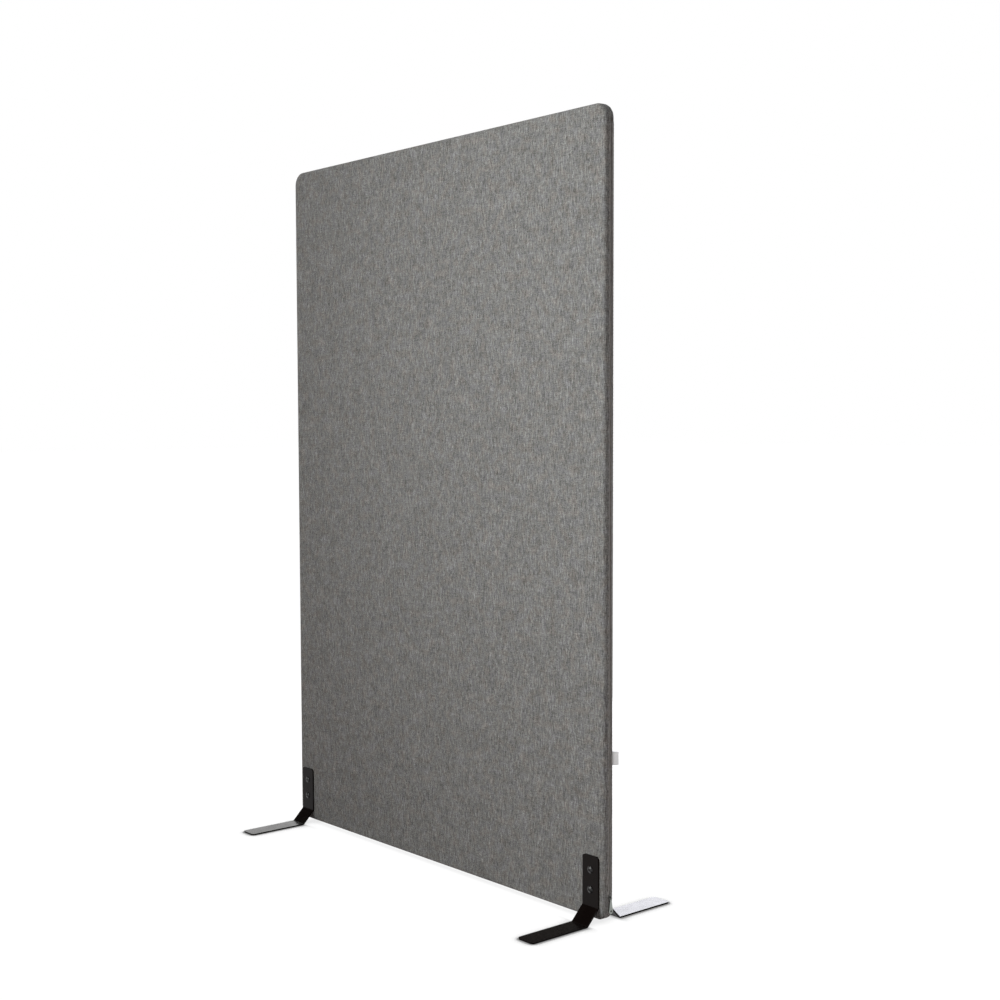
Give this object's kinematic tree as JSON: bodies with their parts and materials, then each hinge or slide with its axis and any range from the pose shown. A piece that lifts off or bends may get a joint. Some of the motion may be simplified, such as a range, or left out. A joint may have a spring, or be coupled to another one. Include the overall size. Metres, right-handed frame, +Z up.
{
  "type": "acoustic divider screen",
  "caption": "Free-standing fabric-covered acoustic panel with rounded corners on bent steel strap feet, with a zipped side and a blank side label.",
  "frame": {"origin": "on the floor under the middle of the panel", "axes": "+X along the panel towards the zipped end, -Y out of the front face, +Z up"},
  "size_m": [1.236, 0.442, 1.838],
  "materials": {
    "cover_fabric": "heathered woven cloth",
    "felt_board": "pressed felt",
    "fibre_batt": "soft fibre",
    "frame_wood": "planed softwood",
    "wood_screw": "zinc passivated",
    "foot_steel": "black powder coat, satin",
    "bolt_black": "black oxide, satin gloss",
    "spacer_steel": "plain tube",
    "zip_tape": "woven tape, matt",
    "zip_teeth": "moulded, matt",
    "zip_stops": "dark lacquer",
    "slider_metal": "dark lacquer, satin",
    "pull_metal": "worn nickel",
    "label_cloth": "woven ribbon, bare"
  },
  "bodies": {
    "panel": {"frame_top_rail": "frame_wood", "frame_bottom_rail": "frame_wood", "frame_left_stile": "frame_wood", "frame_right_stile": "frame_wood", "corner_screws": "wood_screw", "acoustic_core": "fibre_batt", "front_facing": "felt_board", "rear_facing": "felt_board", "cover_front": "cover_fabric", "cover_rear": "cover_fabric", "foot_front_left": "foot_steel", "foot_front_right": "foot_steel", "foot_rear_left": "foot_steel", "foot_rear_right": "foot_steel", "foot_bolts": "bolt_black", "sleeve_nuts": "bolt_black", "bolt_spacers": "spacer_steel", "zip_tape_front": "zip_tape", "zip_tape_rear": "zip_tape", "zip_teeth_front": "zip_teeth", "zip_teeth_rear": "zip_teeth", "zip_bottom_stop": "zip_stops", "zip_top_stop": "zip_stops", "side_label": "label_cloth"},
    "zip_slider": {"zip_slider": "slider_metal"},
    "zip_pull": {"zip_pull": "pull_metal"}
  },
  "joints": [
    {"name": "zip_slide", "type": "slide", "parent": "panel", "child": "zip_slider", "axis": [0, 0, 1], "range_m": [0, 1.722]},
    {"name": "pull_swing", "type": "hinge", "parent": "zip_slider", "child": "zip_pull", "pos_m": [0.61245, 0.004, 0.0623], "axis": [0, -1, 0], "range_deg": [0, 180]}
  ]
}
